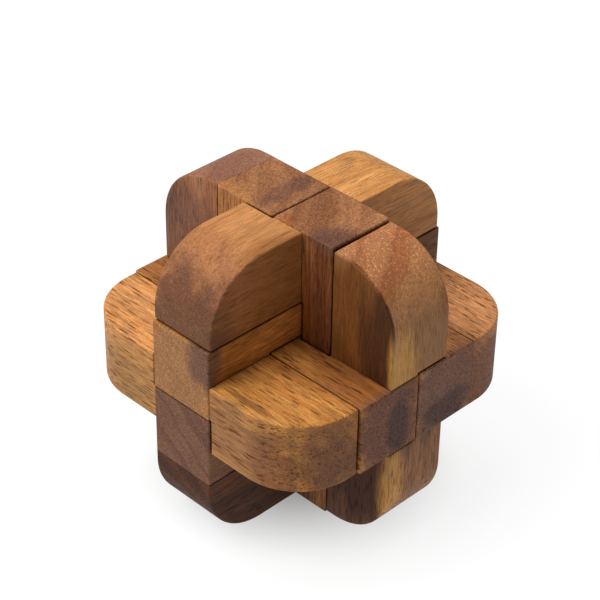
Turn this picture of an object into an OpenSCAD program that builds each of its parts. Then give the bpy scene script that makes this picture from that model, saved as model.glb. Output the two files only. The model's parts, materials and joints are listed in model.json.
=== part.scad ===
// Six-piece burr puzzle: six notched sticks cross in one core, and each stick carries two
// rounded corner blocks that fill the corners between the sticks into three crossing discs.
// +X is right, +Y is back, +Z is up. The origin is the centre of the face the puzzle stands on.

/* [Sticks] */
// Width and height of a square stick
stick_w = 20; // [16:0.5:26]
// Length of a stick, as a multiple of its width
length_ratio = 4.05; // [4:0.05:4.4]

/* [Corner blocks] */
// Radius of a block's outer corner, as a multiple of the stick's width
corner_ratio = 0.86; // [0.4:0.02:0.9]
// How far a block stops short of the end of a stick that it isn't glued to
loose_step = 0.8; // [0:0.1:1]
// How far the flat top of a block stops short of the sticks that it stands across
end_step = 0.3; // [0:0.1:1]

/* [Fit] */
// Gap between pieces that slide on each other
gap = 0.3; // [0.1:0.05:0.5]

/* [Wood] */
// Colour of the reddish brown pieces
red_wood = "sienna"; // [sienna, chocolate, saddlebrown]
// Colour of the golden pieces
gold_wood = "peru"; // [peru, burlywood, goldenrod]
// Colour of the dark heartwood pieces
dark_wood = "saddlebrown"; // [saddlebrown, brown, maroon]

/* [Hidden] */

$fn = 96;
// Half a stick's width: every notch is a whole number of these steps
step = stick_w / 2;
half_gap = gap / 2;
half_len = stick_w * length_ratio / 2;
corner_r = stick_w * corner_ratio;
// Glued faces: none on the block's flat side, or a pad on one half of its end
GLUED_TO_SIDE = 0;
PAD_UP = 1;
PAD_DOWN = -1;

// A box between two corners, given in half-stick steps from the puzzle's centre
module steps_box(low, high, grow) {
    translate(low * step - [grow, grow, grow])
        cube((high - low) * step + 2 * [grow, grow, grow]);
}

// The wood that a notch takes out, with the sliding gap all round it
module notch(low, high) {
    steps_box(low, high, half_gap);
}

// A square bar along X, Y or Z, centred half a stick off the puzzle's centre on each side
module bar(along, centre) {
    side = stick_w - gap;
    full = 2 * half_len;
    size = [for (i = [0:2]) along[i] == 1 ? full : side];
    translate(centre * step)
        cube(size, center = true);
}

module lift() {
    translate([0, 0, half_len])
        children();
}

// Outline of a corner block: square inner corner at (near_a, near_b), round outer corner
module block_outline(near_a, near_b, far_a, far_b) {
    difference() {
        translate([near_a, near_b])
            square([far_a - near_a, far_b - near_b]);
        translate([far_a - corner_r, far_b - corner_r])
            difference() {
                square([corner_r + 1, corner_r + 1]);
                circle(r = corner_r);
            }
    }
}

// A corner block. Its flat side faces the stick it lies along, at two steps from the centre,
// and its end stands on the two crossing sticks, at one step. It is glued to the side, or to
// one of the two crossing sticks through the half of its end that reaches down to it.
module corner_block(glued) {
    to_side = glued == GLUED_TO_SIDE;
    near_a = 2 * step + (to_side ? -half_gap : half_gap);
    near_b = step + half_gap;
    far_a = half_len - (to_side ? loose_step : end_step);
    far_b = half_len - (to_side ? 0 : loose_step);
    thick = stick_w - gap;
    linear_extrude(thick, center = true)
        block_outline(near_a, near_b, far_a, far_b);
    if (!to_side) {
        pad_low = glued == PAD_UP ? half_gap : -thick / 2;
        translate([near_a, step - half_gap, pad_low])
            cube([far_a - near_a, gap, thick / 2 - half_gap]);
    }
}

// Puts a corner block in the upright left-to-right disc, at side x and height z (1 or -1)
module in_wide_disc(x, z) {
    lift()
        scale_sign([x, 1, z])
            rotate([90, 0, 0])
                children();
}

// Puts a corner block in the upright front-to-back disc, at side y and height z
module in_deep_disc(y, z) {
    lift()
        scale_sign([1, y, z])
            rotate([0, -90, 0])
                children();
}

// Puts a corner block in the flat disc, at side x and side y
module in_flat_disc(x, y) {
    lift()
        scale_sign([x, y, 1])
            mirror([1, -1, 0])
                children();
}

// Mirrors its children along each axis whose sign is -1
module scale_sign(signs) {
    mirror([signs.x < 0 ? 1 : 0, 0, 0])
        mirror([0, signs.y < 0 ? 1 : 0, 0])
            mirror([0, 0, signs.z < 0 ? 1 : 0])
                children();
}

// The key: a plain stick without a notch, which holds all the others in place
module left_upright_stick() {
    color(red_wood)
        lift()
            bar([0, 0, 1], [-1, 0, 0]);
}

module right_upright_stick() {
    color(dark_wood)
        lift()
            difference() {
                bar([0, 0, 1], [1, 0, 0]);
                notch([0, -1, -2], [1, 1, 2]);
                notch([1, 0, -1], [2, 1, 1]);
            }
}

module front_cross_stick() {
    color(gold_wood)
        lift()
            difference() {
                bar([1, 0, 0], [0, -1, 0]);
                notch([-2, -1, -1], [0, 0, 1]);
                notch([1, -1, -1], [2, 0, 1]);
            }
}

module back_cross_stick() {
    color(dark_wood)
        lift()
            difference() {
                bar([1, 0, 0], [0, 1, 0]);
                notch([-2, 0, -1], [0, 1, 1]);
            }
}

module upper_long_stick() {
    color(gold_wood)
        lift()
            difference() {
                bar([0, 1, 0], [0, 0, 1]);
                notch([-1, -2, 0], [1, 2, 1]);
                notch([-1, -1, 1], [0, 1, 2]);
            }
}

module lower_long_stick() {
    color(red_wood)
        lift()
            difference() {
                bar([0, 1, 0], [0, 0, -1]);
                notch([-1, -2, -1], [1, 2, 0]);
                notch([-1, -1, -2], [0, 1, -1]);
            }
}

module left_top_block() {
    color(red_wood)
        in_wide_disc(-1, 1)
            corner_block(GLUED_TO_SIDE);
}

module right_top_block() {
    color(gold_wood)
        in_wide_disc(1, 1)
            corner_block(PAD_UP);
}

module left_bottom_block() {
    color(dark_wood)
        in_wide_disc(-1, -1)
            corner_block(PAD_UP);
}

module right_bottom_block() {
    color(gold_wood)
        in_wide_disc(1, -1)
            corner_block(PAD_DOWN);
}

module front_top_block() {
    color(gold_wood)
        in_deep_disc(-1, 1)
            corner_block(PAD_DOWN);
}

module back_top_block() {
    color(gold_wood)
        in_deep_disc(1, 1)
            corner_block(PAD_UP);
}

module front_bottom_block() {
    color(dark_wood)
        in_deep_disc(-1, -1)
            corner_block(GLUED_TO_SIDE);
}

module back_bottom_block() {
    color(red_wood)
        in_deep_disc(1, -1)
            corner_block(PAD_DOWN);
}

module left_front_block() {
    color(gold_wood)
        in_flat_disc(-1, -1)
            corner_block(PAD_DOWN);
}

module right_front_block() {
    color(gold_wood)
        in_flat_disc(1, -1)
            corner_block(PAD_UP);
}

module left_back_block() {
    color(gold_wood)
        in_flat_disc(-1, 1)
            corner_block(PAD_UP);
}

module right_back_block() {
    color(red_wood)
        in_flat_disc(1, 1)
            corner_block(GLUED_TO_SIDE);
}

left_upright_stick();
right_upright_stick();
front_cross_stick();
back_cross_stick();
upper_long_stick();
lower_long_stick();
left_top_block();
right_top_block();
left_bottom_block();
right_bottom_block();
front_top_block();
back_top_block();
front_bottom_block();
back_bottom_block();
left_front_block();
right_front_block();
left_back_block();
right_back_block();
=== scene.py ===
"""Looks for the six-piece burr puzzle: oiled tropical hardwood, cut, eased and glued by hand."""

import json
import math
from types import SimpleNamespace

import bmesh
import bpy
from mathutils import Matrix, Vector


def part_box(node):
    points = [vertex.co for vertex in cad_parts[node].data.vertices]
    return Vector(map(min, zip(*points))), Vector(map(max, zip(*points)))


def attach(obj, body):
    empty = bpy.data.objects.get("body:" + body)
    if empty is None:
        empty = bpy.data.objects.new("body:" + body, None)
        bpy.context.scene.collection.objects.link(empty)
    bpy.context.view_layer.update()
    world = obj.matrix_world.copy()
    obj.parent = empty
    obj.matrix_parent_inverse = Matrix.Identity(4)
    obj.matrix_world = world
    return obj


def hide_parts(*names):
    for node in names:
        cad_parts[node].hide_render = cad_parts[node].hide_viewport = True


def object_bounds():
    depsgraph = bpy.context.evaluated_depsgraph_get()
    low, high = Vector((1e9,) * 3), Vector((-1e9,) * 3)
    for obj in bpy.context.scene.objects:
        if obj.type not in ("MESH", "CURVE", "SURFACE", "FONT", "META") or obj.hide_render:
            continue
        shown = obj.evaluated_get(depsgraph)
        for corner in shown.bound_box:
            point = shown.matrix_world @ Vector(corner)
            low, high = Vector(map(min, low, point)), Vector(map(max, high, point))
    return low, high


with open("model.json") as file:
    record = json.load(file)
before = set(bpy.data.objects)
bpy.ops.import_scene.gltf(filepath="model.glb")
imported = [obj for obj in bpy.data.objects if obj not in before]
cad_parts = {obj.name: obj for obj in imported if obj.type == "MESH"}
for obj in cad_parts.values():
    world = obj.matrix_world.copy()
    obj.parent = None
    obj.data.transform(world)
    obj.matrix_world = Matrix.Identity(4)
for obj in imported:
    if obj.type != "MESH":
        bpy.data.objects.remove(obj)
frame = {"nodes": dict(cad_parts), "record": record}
cad_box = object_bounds()

MM = 0.001
SIZE = cad_box[1].z - cad_box[0].z
CENTRE = Vector((0, 0, SIZE / 2))
NODE_BODY = {n: b for b, ns in frame["record"]["behaviour"]["bodies"].items() for n in ns}


# ---------------------------------------------------------------- pieces of wood

EASE_FREE = 0.50 * MM      # rounding of an edge that a sander could reach
EASE_GLUED = 0.10 * MM     # rounding of an edge along a glue line
EASE_SEGMENTS = 3
RIM = 0.9 * MM             # width of the band along each edge that wear and a painted highlight show on
TOUCH = 0.05 * MM          # two glued pieces are nearer than this
WELD = 0.001 * MM          # corners nearer than this are one corner
FLAT = math.radians(0.5)   # facets that turn less than this are one flat side
SMOOTH = math.radians(10)  # sides that turn less than this run into each other
SHARP = math.radians(30)   # an edge that turns more than this is rounded
MIN_REGION = 60 * MM * MM  # sides smaller than this get no rim


def inside(point, corners):
    low, high = corners
    return all(low[i] - TOUCH <= point[i] <= high[i] + TOUCH for i in range(3))


def touches(a, b):
    return all(a[0][i] - TOUCH <= b[1][i] and b[0][i] - TOUCH <= a[1][i] for i in range(3))


def glued_boxes(node):
    """Boxes of the other pieces of wood that touch this one and move with it."""
    partners = [n for n, body in NODE_BODY.items() if body == NODE_BODY[node] and n != node]
    return [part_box(n) for n in partners if touches(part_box(node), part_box(n))]


def clean_copy(node):
    """The CAD solid as a mesh with one face for each flat side."""
    mesh = frame["nodes"][node].data.copy()
    mesh.materials.clear()
    bm = bmesh.new()
    bm.from_mesh(mesh)
    bmesh.ops.remove_doubles(bm, verts=bm.verts, dist=WELD)
    bmesh.ops.dissolve_limit(bm, angle_limit=FLAT, verts=bm.verts, edges=bm.edges)
    bmesh.ops.recalc_face_normals(bm, faces=bm.faces)
    return mesh, bm


def weigh_edges(bm, partners):
    """Marks each sharp edge with how far it is rounded: 1 when free, less along a glue line."""
    weight = bm.edges.layers.float.get("bevel_weight_edge")
    weight = weight or bm.edges.layers.float.new("bevel_weight_edge")
    for edge in bm.edges:
        if len(edge.link_faces) != 2 or edge.calc_face_angle() < SHARP:
            continue
        glued = any(inside(edge.verts[0].co, p) and inside(edge.verts[1].co, p) for p in partners)
        edge[weight] = EASE_GLUED / EASE_FREE if glued else 1.0


def smooth_regions(bm):
    """Groups of faces that run into each other without a sharp edge."""
    todo = set(bm.faces)
    while todo:
        start = todo.pop()
        region, front = [start], [start]
        while front:
            face = front.pop()
            for edge in face.edges:
                if len(edge.link_faces) != 2 or edge.calc_face_angle() >= SMOOTH:
                    continue
                found = [other for other in edge.link_faces if other in todo]
                todo.difference_update(found)
                region.extend(found)
                front.extend(found)
        yield region


def add_rims(mesh):
    """Cuts a narrow band along the edges of each side, and stores how near an edge each point is."""
    bm = bmesh.new()
    bm.from_mesh(mesh)
    near = bm.verts.layers.float.new("edge")
    for vert in bm.verts:
        vert[near] = 1.0
    regions = [r for r in smooth_regions(bm) if sum(f.calc_area() for f in r) > MIN_REGION]
    regions.sort(key=lambda r: min(f.index for f in r))
    for region in regions:
        old = {v for f in region for v in f.verts}
        bmesh.ops.inset_region(bm, faces=region, thickness=RIM, use_even_offset=True, use_boundary=True)
        for vert in {v for f in region for v in f.verts} - old:
            vert[near] = 0.0
    for face in bm.faces:
        face.smooth = True
    bm.to_mesh(mesh)
    bm.free()


def piece_of_wood(node, material):
    """A finely made copy of a CAD solid: eased edges, rims for wear and a painted highlight, and its
    own wood.
    """
    mesh, bm = clean_copy(node)
    weigh_edges(bm, glued_boxes(node))
    bm.to_mesh(mesh)
    bm.free()
    raw = bpy.data.objects.new(node + "_raw", mesh)
    bpy.context.scene.collection.objects.link(raw)
    bevel = raw.modifiers.new("ease", "BEVEL")
    bevel.limit_method = "WEIGHT"
    bevel.width = EASE_FREE
    bevel.segments = EASE_SEGMENTS
    bevel.use_clamp_overlap = False
    eased = bpy.data.meshes.new_from_object(raw.evaluated_get(bpy.context.evaluated_depsgraph_get()))
    bpy.data.objects.remove(raw)
    add_rims(eased)
    eased.materials.append(material)
    piece = bpy.data.objects.new(node + "_wood", eased)
    bpy.context.scene.collection.objects.link(piece)
    normals = piece.modifiers.new("flat_sides", "WEIGHTED_NORMAL")
    normals.keep_sharp = True
    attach(piece, NODE_BODY[node])
    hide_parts(node)


# ---------------------------------------------------------------- shader graph

def linear(rgb):
    """A colour given as 0 to 255 display values, as the linear values a shader takes."""
    values = [c / 255 for c in rgb]
    return [c / 12.92 if c <= 0.04045 else ((c + 0.055) / 1.055) ** 2.4 for c in values] + [1.0]


class Graph:
    """Short names for the shader nodes that the wood and the paper are built from."""

    def __init__(self, material):
        self.tree = material.node_tree

    def node(self, kind, **settings):
        made = self.tree.nodes.new(kind)
        for key, value in settings.items():
            setattr(made, key, value)
        return made

    def feed(self, socket, value):
        if isinstance(value, bpy.types.NodeSocket):
            self.tree.links.new(value, socket)
        elif value is not None:
            socket.default_value = value

    def math(self, operation, a, b=None, c=None):
        made = self.node("ShaderNodeMath", operation=operation)
        for socket, value in zip(made.inputs, (a, b, c)):
            self.feed(socket, value)
        return made.outputs[0]

    def product(self, a, b):
        return self.math("MULTIPLY", a, b)

    def vector(self, operation, a, b=None):
        made = self.node("ShaderNodeVectorMath", operation=operation)
        self.feed(made.inputs[0], a)
        self.feed(made.inputs[1], b)
        return made.outputs["Value" if operation == "LENGTH" else "Vector"]

    def combine(self, x, y, z):
        made = self.node("ShaderNodeCombineXYZ")
        for socket, value in zip(made.inputs, (x, y, z)):
            self.feed(socket, value)
        return made.outputs[0]

    def separate(self, vector):
        made = self.node("ShaderNodeSeparateXYZ")
        self.feed(made.inputs[0], vector)
        return made.outputs

    def stretched(self, at, across, along):
        """Coordinates scaled across the grain and along it."""
        return self.vector("MULTIPLY", at, (across, across, along))

    def noise(self, vector, detail, rough=0.5, scale=1.0, bend=0.0):
        made = self.node("ShaderNodeTexNoise")
        self.feed(made.inputs["Vector"], vector)
        made.inputs["Scale"].default_value = scale
        made.inputs["Detail"].default_value = detail
        made.inputs["Roughness"].default_value = rough
        made.inputs["Distortion"].default_value = bend
        return made.outputs["Fac"]

    def cells(self, vector):
        """How far the nearest of many scattered points is, and three random values of that point."""
        made = self.node("ShaderNodeTexVoronoi", feature="F1")
        self.feed(made.inputs["Vector"], vector)
        made.inputs["Scale"].default_value = 1.0
        return made.outputs["Distance"], self.separate(made.outputs["Color"])

    def span(self, value, low, high, to_low=0.0, to_high=1.0):
        """value from low..high mapped smoothly onto to_low..to_high, and held beyond."""
        made = self.node("ShaderNodeMapRange", interpolation_type="SMOOTHSTEP")
        for socket, v in zip(made.inputs, (value, low, high, to_low, to_high)):
            self.feed(socket, v)
        return made.outputs[0]

    def mix(self, factor, a, b, blend="MIX"):
        made = self.node("ShaderNodeMix", data_type="RGBA", blend_type=blend)
        made.clamp_factor = True
        self.feed(made.inputs["Factor"], factor)
        self.feed(made.inputs[6], a)
        self.feed(made.inputs[7], b)
        return made.outputs[2]

    def tinted(self, tone, tint):
        """tone times tint, which is linear, and over 1 where it makes the tone paler."""
        return self.mix(1.0, tone, (*tint, 1.0), "MULTIPLY")


# ---------------------------------------------------------------- wood

# for each direction of the grain, the two axes across it and the axis along it
GRAIN = {"X": (1, 2, 0), "Y": (2, 0, 1), "Z": (0, 1, 2)}

# in millimetres, as the places in a piece of wood are
PITH = (45.0, 30.0)             # how far the tree's middle is from the middle of a piece
RING = 5.0                      # width of a growth zone
LINE = 0.16 * RING              # width of a growth line
WARP = 14.0                     # how far growth zones bend along the board
WAVE = 1.6                      # how far they ripple
DOT_PITCH = 0.7                 # between the pale vessels seen on end grain
SEED_SHIFT = (17.3, 9.1, 53.7)  # from the wood of one piece to that of the next

# in metres
SEAM_SHADE_REACH = 0.7 * MM              # how far out of a seam its painted shade reaches
RELIEF = 0.08 * MM              # how far the fibres stand above the pores

RELIEF_STRENGTH = 0.5
WEAR_AND_HIGHLIGHT = 0.35                     # how much of the wear and painted highlight along an edge shows
SPECULAR = 0.22                 # of the oil
ROUGH = (0.50, 0.62)            # of the oil, from one fibre to the next
PORE_ROUGH = 0.22               # what is added to that in a pore
END_ROUGH = 0.06                # on end grain
WORN_ROUGH = 0.10               # and on a worn edge

# what each mark does to the tone that it lies on
DARK_MARK = (0.46, 0.36, 0.30)
DEEP_PORE = (0.30, 0.22, 0.18)
# paler edges: wear, and a painted highlight where the eased edges catch the light
WORN_AND_HIGHLIT_EDGE = (1.9, 1.7, 1.3)
PALE_VESSEL = (1.9, 1.9, 1.45)
# painted shade, laid into the colour along the seams
SEAM_SHADE_TINT = (0.16, 0.12, 0.10)

# how strongly each mark shows, unless a piece says otherwise
USUAL_LOOK = dict(
    streak=0.3,                     # dark heartwood
    lines=0.3,                      # growth lines
    figure=0.4,                     # fibres
    pores=0.55,                     # open pores, which are dark dashes
    pore_pitch=(0.75, 5.0),         # between them across the grain and along it, in millimetres
    speck=0.6,                      # pale vessels on end grain
    end_tint=(0.83, 0.82, 0.99),    # what end grain does to the tone: darker, and greyed by a painted sheen
    stains=(),                      # patches: (middle, reach, colour, strength) from the piece's middle
)


def place_in_board(g, node, grain, seed):
    """Where a point lies in its piece of wood, and whether it is on end grain."""
    coords = g.node("ShaderNodeTexCoord")
    low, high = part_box(node)
    local = g.vector("SUBTRACT", coords.outputs["Object"], tuple((low + high) / 2))
    local = g.vector("MULTIPLY", local, (1 / MM, 1 / MM, 1 / MM))
    axes = g.separate(local)
    board = g.combine(*(axes[i] for i in GRAIN[grain]))
    facing = g.math("ABSOLUTE", g.separate(coords.outputs["Normal"])[GRAIN[grain][2]])
    return SimpleNamespace(
        local=local,
        board=board,
        shifted=g.vector("ADD", board, tuple(seed * shift for shift in SEED_SHIFT)),
        end=g.span(facing, 0.35, 0.95),
    )


def growth(g, place, seed):
    """Growth zones and lines: curved bands round a far-off pith, warped along the board."""
    warp = g.noise(g.stretched(place.shifted, 0.035, 0.008), 3.0)
    wave = g.noise(g.stretched(place.shifted, 0.25, 0.03), 2.0)
    from_pith = g.vector("MULTIPLY", g.vector("ADD", place.board, (*PITH, 0)), (1, 1, 0))
    radius = g.vector("LENGTH", from_pith)
    radius = g.math("ADD", radius, g.product(warp, WARP))
    radius = g.math("ADD", radius, g.product(wave, WAVE))
    return SimpleNamespace(
        wave=wave,
        zone=g.noise(g.combine(g.math("DIVIDE", radius, RING), seed * 3.1, 0.0), 3.0, 0.62),
        line=g.noise(g.combine(g.math("DIVIDE", radius, LINE), seed * 1.7, 0.0), 2.0, 0.6),
        patch=g.noise(g.stretched(place.shifted, 0.09, 0.02), 3.0, 0.55, bend=0.4),
    )


def fibres(g, place, wave, pore_pitch):
    """Fibres, the dashes that open pores make along the grain, and vessels seen end on."""
    fibre = g.noise(g.stretched(place.shifted, 1.5, 0.05), 4.0, 0.62)
    wander = g.combine(g.product(wave, 1.5), g.product(fibre, 0.6), 0.0)
    wander = g.vector("ADD", place.shifted, wander)
    distance, chance = g.cells(g.stretched(wander, 1 / pore_pitch[0], 1 / pore_pitch[1]))
    width = g.math("MULTIPLY_ADD", chance[1], 0.22, 0.22)
    pore = g.span(g.math("SUBTRACT", distance, width), -0.08, 0.05, 1.0, 0.0)
    pore = g.product(pore, g.math("GREATER_THAN", chance[0], 0.18))
    distance, chance = g.cells(g.stretched(place.shifted, 1 / DOT_PITCH, 0.03))
    width = g.math("MULTIPLY_ADD", chance[0], 0.26, 0.16)
    return SimpleNamespace(
        fibre=fibre,
        grit=g.noise(place.shifted, 2.0, 0.6, scale=3.2),
        fine=g.noise(g.stretched(place.shifted, 2.6, 0.22), 3.0, 0.6),
        pore=pore,
        dot=g.span(g.math("SUBTRACT", distance, width), -0.08, 0.10, 1.0, 0.0),
    )


def stained(g, tone, stains, place, rings, marks):
    """The tone with soft-edged patches laid over it, the first one lowest."""
    for middle, reach, colour, strength in stains:
        gap = g.vector("DIVIDE", g.vector("SUBTRACT", place.local, middle), reach)
        gap = g.math("ADD", g.vector("LENGTH", gap), g.math("MULTIPLY_ADD", marks.fibre, 0.35, -0.17))
        gap = g.math("ADD", gap, g.math("MULTIPLY_ADD", rings.wave, 1.1, -0.55))
        cover = g.product(g.span(gap, 0.60, 1.25, 1.0, 0.0), strength)
        tone = g.mix(cover, tone, linear(colour))
    return tone


def figured(g, tone, look, place, rings, marks):
    """The tone with its growth lines and fibres, and darker where it is end grain, with a grey cast
    that is a painted sheen.
    """
    darker = g.tinted(tone, DARK_MARK)
    lines = g.span(place.end, 0.0, 1.0, look.lines, look.lines * 0.3)
    tone = g.mix(g.product(g.span(rings.line, 0.50, 0.66), lines), tone, darker)
    tone = g.mix(g.product(g.span(marks.fibre, 0.46, 0.76), look.figure), tone, darker)
    shade = g.span(marks.fine, 0.3, 0.7, 1 - 0.45 * look.figure, 1 + 0.42 * look.figure)
    shade = g.product(shade, g.span(rings.patch, 0.25, 0.75, 0.90, 1.10))
    shade = g.product(shade, g.span(marks.grit, 0.3, 0.7, 0.84, 1.16))
    tone = g.mix(1.0, tone, g.combine(shade, shade, shade), "MULTIPLY")
    # end grain is darker, and its grey cast is a painted sheen
    return g.mix(place.end, tone, g.tinted(tone, look.end_tint))


def pored(g, tone, look, place, marks):
    """The tone with pale vessels on end grain, and dark open pores."""
    vessel = g.product(g.product(marks.dot, place.end), look.speck)
    tone = g.mix(vessel, tone, g.tinted(tone, PALE_VESSEL))
    pores = g.span(place.end, 0.0, 1.0, look.pores, look.pores * 0.6)
    return g.mix(g.product(marks.pore, pores), tone, g.tinted(tone, DEEP_PORE))


def painted_seam_shade(g, tone):
    """The tone darkened by painted shade, from ambient occlusion, where another piece is close by."""
    occlusion = g.node("ShaderNodeAmbientOcclusion", samples=8)
    occlusion.inputs["Distance"].default_value = SEAM_SHADE_REACH
    painted_shade = g.span(occlusion.outputs["AO"], 0.25, 0.85, 1.0, 0.0)
    return g.mix(painted_shade, tone, g.tinted(tone, SEAM_SHADE_TINT))


def wood(node, grain, tones, seed, **changes):
    """Oiled hardwood, solid all through, with its light, middle and dark tone."""
    look = SimpleNamespace(**(USUAL_LOOK | changes))
    material = bpy.data.materials.new(node + "_finish")
    material.use_nodes = True
    g = Graph(material)
    shader = g.tree.nodes["Principled BSDF"]
    place = place_in_board(g, node, grain, seed)
    rings = growth(g, place, seed)
    marks = fibres(g, place, rings.wave, look.pore_pitch)
    rim = g.node("ShaderNodeAttribute", attribute_name="edge", attribute_type="GEOMETRY")
    # paler edges: wear, and a painted highlight where the eased edges catch the light
    edge_wear_and_highlight = g.product(g.span(rim.outputs["Fac"], 0.55, 1.0), g.span(marks.fine, 0.35, 0.6))

    light, middle, dark = (linear(tone) for tone in tones)
    heart = g.product(g.span(rings.zone, 0.52, 0.74), g.span(rings.patch, 0.35, 0.65))
    tone = g.mix(g.span(rings.zone, 0.34, 0.66), light, middle)
    tone = g.mix(g.product(heart, look.streak), tone, dark)
    tone = stained(g, tone, look.stains, place, rings, marks)
    tone = figured(g, tone, look, place, rings, marks)
    worn_and_highlit_tone = g.tinted(tone, WORN_AND_HIGHLIT_EDGE)
    tone = pored(g, tone, look, place, marks)
    tone = g.mix(g.product(edge_wear_and_highlight, WEAR_AND_HIGHLIGHT), tone, worn_and_highlit_tone)
    # the base colour carries painted shade in the seams
    g.feed(shader.inputs["Base Color"], painted_seam_shade(g, tone))

    rough = g.span(marks.fibre, 0.3, 0.7, *ROUGH)
    for place_on, added in ((marks.pore, PORE_ROUGH), (place.end, END_ROUGH), (edge_wear_and_highlight, WORN_ROUGH)):
        rough = g.math("MULTIPLY_ADD", place_on, added, rough)
    g.feed(shader.inputs["Roughness"], rough)
    shader.inputs["Specular IOR Level"].default_value = SPECULAR

    relief = g.math("MULTIPLY_ADD", marks.fibre, 0.4, g.product(marks.fine, 0.35))
    bump = g.node("ShaderNodeBump")
    bump.inputs["Strength"].default_value = RELIEF_STRENGTH
    bump.inputs["Distance"].default_value = RELIEF
    g.feed(bump.inputs["Height"], g.math("SUBTRACT", relief, marks.pore))
    g.feed(shader.inputs["Normal"], bump.outputs[0])
    return material


# ---------------------------------------------------------------- the eighteen pieces

# light, middle and dark tone of each kind of board
GOLD = ((176, 124, 62), (156, 100, 44), (94, 50, 22))
HONEY = ((188, 136, 82), (168, 114, 62), (112, 68, 38))
TAN = ((188, 134, 84), (162, 110, 60), (84, 46, 24))
RED = ((157, 112, 74), (136, 86, 52), (80, 44, 28))
WALNUT = ((150, 104, 64), (126, 80, 46), (74, 42, 26))
UMBER = ((112, 78, 54), (92, 60, 42), (52, 34, 26))
# the darkest board, made darker still with painted shade for the front bottom block
DARK_BOARD_AND_SHADE = ((92, 50, 18), (62, 32, 11), (28, 14, 6))

# colours of sapwood and of the darkest heartwood stains
SAP = (184, 136, 70)
INK = (68, 50, 44)

# boards with long open pores, and boards with shorter ones
COARSE = dict(pores=0.95, pore_pitch=(0.85, 6.0))
MEDIUM = dict(pores=0.9, pore_pitch=(0.8, 3.6))

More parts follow.
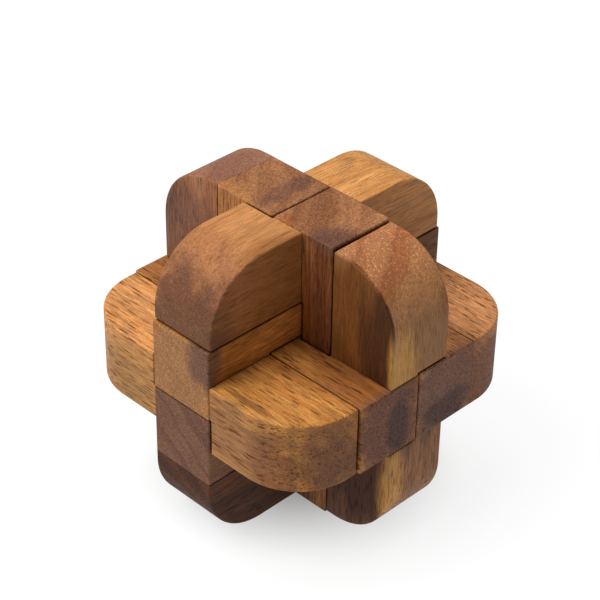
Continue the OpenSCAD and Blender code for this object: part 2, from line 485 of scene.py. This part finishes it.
# each piece of wood: its grain, its tones, and the patches that set it apart, in millimetres
WOODS = {
    "left_upright_stick": dict(grain="Z", tones=WALNUT, lines=0.6, stains=[
        ((-5, -10, 34), (9, 5, 40), (164, 112, 62), 0.9),
        ((4, 2, 42), (3, 12, 8), (96, 64, 48), 0.7),
    ]),
    "right_upright_stick": dict(grain="Z", tones=WALNUT, lines=0.8, stains=[
        ((-5, -10, 4), (9, 5, 36), (154, 85, 22), 0.9),
        ((8, -10, 22), (4, 6, 40), (84, 37, 8), 0.8),
        ((8, -8, 42), (7, 8, 4), (92, 62, 48), 0.8),
    ]),
    "front_cross_stick": dict(grain="X", tones=GOLD, **COARSE, stains=[
        ((-36, 0, 10), (14, 12, 6), (120, 74, 42), 0.7),
        ((34, 0, 10), (18, 12, 6), (124, 72, 30), 0.85),
        ((41, 0, 0), (3, 14, 14), (108, 72, 54), 0.9),
        ((41, 3, -2), (4, 4, 9), INK, 0.8),
    ]),
    "back_cross_stick": dict(grain="X", tones=RED, **MEDIUM, stains=[
        ((0, 0, 10), (40, 14, 4), (190, 132, 86), 0.8),
        ((41, 0, 0), (3, 14, 14), (112, 80, 62), 0.9),
        ((41, 0, -6), (5, 9, 5), INK, 0.7),
    ]),
    "upper_long_stick": dict(grain="Y", tones=GOLD, lines=0.5, stains=[
        ((0, -41, 0), (14, 3, 14), (140, 102, 63), 0.8),
        ((8, -41, 7), (6, 5, 9), (88, 62, 50), 0.75),
        ((10, 38, 8), (5, 6, 9), INK, 0.6),
        # painted light: a pale patch on the +x side that lifts the shade between the front top and
        # right front blocks
        ((10, -16, 0), (4, 15, 12), (196, 134, 66), 0.8),
    ]),
    "lower_long_stick": dict(grain="Y", tones=UMBER),
    "left_top_block": dict(grain="Z", tones=RED, lines=0.2, stains=[
        ((0, -10, -4), (14, 6, 16), (104, 70, 54), 0.9),
        ((-10, 0, 8), (8, 14, 13), (78, 52, 44), 0.8),
        ((5, 1, 14), (12, 14, 5), (124, 88, 68), 0.7),
    ]),
    "right_top_block": dict(grain="Z", tones=RED, lines=0.1, figure=0.2, pores=0.25, streak=0.1,
                            speck=1.0, end_tint=(0.92, 0.84, 0.86), stains=[
        ((-2, -10, 0), (16, 1.2, 26), (100, 58, 18), 0.95),
        ((8, -10, -5), (9, 1.2, 22), (57, 29, 9), 0.9),
        ((10, 3, -9), (6, 12, 12), (128, 90, 54), 0.9),
        ((10.8, -7, -11), (2.5, 6, 13), SAP, 0.8),
    ]),
    "left_bottom_block": dict(grain="Z", tones=UMBER),
    "right_bottom_block": dict(grain="Z", tones=UMBER, lines=0.4, streak=0.7, stains=[
        ((1, -10, 5), (10, 4, 18), (62, 29, 8), 0.95),
        ((10, 2, 0), (6, 12, 16), (140, 98, 64), 0.9),
        ((10.6, -9, 2), (3.5, 5, 14), SAP, 0.7),
    ]),
    "front_top_block": dict(grain="Y", tones=HONEY, lines=0.2, figure=0.14, pores=0.3, stains=[
        ((-2, 4, 12), (18, 20, 7), (160, 110, 70), 0.6),
        ((10, 0, 0), (5, 20, 18), (128, 80, 36), 0.85),
        ((0, -9, 4), (18, 11, 15), (140, 90, 54), 0.8),
        ((0, -20, -5), (18, 15, 17), (88, 56, 36), 0.85),
    ]),
    "back_top_block": dict(grain="Y", tones=HONEY, lines=0.5, figure=0.2, pores=0.3),
    "front_bottom_block": dict(grain="Y", tones=DARK_BOARD_AND_SHADE, lines=0.7),
    "back_bottom_block": dict(grain="Y", tones=RED),
    "left_front_block": dict(grain="X", tones=TAN, pores=0.8, pore_pitch=(0.85, 6.0), stains=[
        ((0, -12, -5), (26, 5, 13), (140, 104, 60), 0.85),
    ]),
    "right_front_block": dict(grain="X", tones=GOLD, **COARSE, speck=0.3, stains=[
        ((-4, -7, 10), (9, 1.2, 3), (96, 54, 26), 0.7),
        ((-6, -11, -2), (18, 4, 12), (130, 92, 58), 0.8),
        ((9, -10, -3), (1.5, 6, 30), (92, 62, 44), 0.5),
        ((6, -12, -3), (8, 8, 12), (112, 72, 44), 0.7),
        ((16, -5, -3), (6, 18, 14), (108, 72, 50), 0.8),
    ]),
    "left_back_block": dict(grain="X", tones=GOLD, **COARSE),
    "right_back_block": dict(grain="X", tones=RED, **MEDIUM, stains=[
        ((0, 0, 10), (20, 14, 4), (190, 132, 86), 0.8),
        ((14, 0, -3), (8, 20, 9), (112, 76, 52), 0.8),
    ]),
}

for number, (node, look) in enumerate(WOODS.items(), start=1):
    piece_of_wood(node, wood(node, seed=number, **look))


# ---------------------------------------------------------------- studio

# all in metres
FLOOR_HALF = 60.0            # wide enough that the paper's edge is never in view
PAINTED_SHADOW_REACH = 0.55 * SIZE    # how far from the middle the painted shadow on the paper reaches
FAR_START = 0.10             # the paper's painted brightening far from the puzzle begins and ends here
FAR_END = 0.60

GLOW_IN_PAINTED_SHADOW = 0.15            # how much the paper glows under the puzzle, kept low there to paint its shadow
GLOW_NEAR = 0.86             # how much it glows just outside its painted shadow
PAINTED_FAR_GLOW = 0.14              # painted light: what is added to that far away
PAPER_TONES = (0.14, 0.15)   # the paper's own reflection, from one cloud of its pulp to the next


def white_paper():
    """Seamless studio paper that glows like paper on a light table. The glow is lower under the puzzle
    as a painted shadow, and higher far away as painted light.
    """
    material = bpy.data.materials.new("white_paper")
    material.use_nodes = True
    g = Graph(material)
    shader = g.tree.nodes["Principled BSDF"]
    coords = g.node("ShaderNodeTexCoord")
    shade = g.span(g.noise(coords.outputs["Object"], 2.0, scale=3.0), 0.3, 0.7, *PAPER_TONES)
    g.feed(shader.inputs["Base Color"], g.combine(shade, shade, shade))
    shader.inputs["Roughness"].default_value = 0.9
    shader.inputs["Specular IOR Level"].default_value = 0.2
    shader.inputs["Emission Color"].default_value = (1.0, 1.0, 1.0, 1.0)
    away = g.vector("LENGTH", g.vector("MULTIPLY", coords.outputs["Object"], (1.0, 1.0, 0.0)))
    # painted shadow: the glow falls off towards the middle, under the puzzle
    glow_with_painted_shadow = g.span(away, 0.0, PAINTED_SHADOW_REACH, GLOW_IN_PAINTED_SHADOW, GLOW_NEAR)
    # painted light: the paper grows brighter far from the puzzle
    painted_far_brightening = g.span(away, FAR_START, FAR_END, 0.0, PAINTED_FAR_GLOW)
    g.feed(shader.inputs["Emission Strength"], g.math("ADD", glow_with_painted_shadow, painted_far_brightening))
    return material


def floor():
    mesh = bpy.data.meshes.new("studio_floor")
    half = FLOOR_HALF
    corners = [(-half, -half, 0), (half, -half, 0), (half, half, 0), (-half, half, 0)]
    mesh.from_pydata(corners, [], [(0, 1, 2, 3)])
    made = bpy.data.objects.new("studio_floor", mesh)
    bpy.context.scene.collection.objects.link(made)
    mesh.materials.append(white_paper())


def outward(azimuth, elevation):
    """The direction away from the puzzle. Azimuth 0 is in front (-Y), 90 on the right (+X)."""
    turn, rise = math.radians(azimuth), math.radians(elevation)
    return Vector((math.sin(turn) * math.cos(rise), -math.cos(turn) * math.cos(rise), math.sin(rise)))


def soft_light(name, azimuth, elevation, distance, size, power):
    """A square soft box that faces the puzzle."""
    data = bpy.data.lights.new(name, "AREA")
    data.shape = "SQUARE"
    data.size = size
    data.energy = power
    made = bpy.data.objects.new(name, data)
    bpy.context.scene.collection.objects.link(made)
    away = outward(azimuth, elevation)
    made.location = CENTRE + away * distance
    made.rotation_euler = away.to_track_quat("Z", "Y").to_euler()


def sky(strength):
    world = bpy.data.worlds.new("studio")
    bpy.context.scene.world = world
    world.use_nodes = True
    background = world.node_tree.nodes["Background"]
    background.inputs["Color"].default_value = (1.0, 1.0, 1.0, 1.0)
    background.inputs["Strength"].default_value = strength


def camera(azimuth, elevation, roll, distance, shift_up, lens):
    """The viewpoint: a long lens that faces the puzzle, moved up a little in its own picture plane."""
    back = outward(azimuth, elevation)
    level = (-back).cross(Vector((0, 0, 1))).normalized()
    upright = level.cross(-back)
    roll = math.radians(roll)
    right = level * math.cos(roll) + upright * math.sin(roll)
    up = upright * math.cos(roll) - level * math.sin(roll)
    data = bpy.data.cameras.new("camera")
    data.sensor_width = 36.0
    data.lens = lens
    data.clip_start = 0.01
    made = bpy.data.objects.new("camera", data)
    bpy.context.scene.collection.objects.link(made)
    spin = Matrix((right, up, back)).transposed().to_4x4()
    made.matrix_world = Matrix.Translation(CENTRE + back * distance + up * shift_up) @ spin
    bpy.context.scene.camera = made


floor()
soft_light("key", azimuth=-30, elevation=50, distance=2.4, size=1.6, power=56)
soft_light("top", azimuth=-120, elevation=78, distance=2.4, size=1.8, power=42)
sky(0.12)
camera(azimuth=44.63, elevation=34.73, roll=1.0, distance=0.4916, shift_up=0.00924, lens=116.16)
bpy.context.scene.view_settings.view_transform = "Standard"
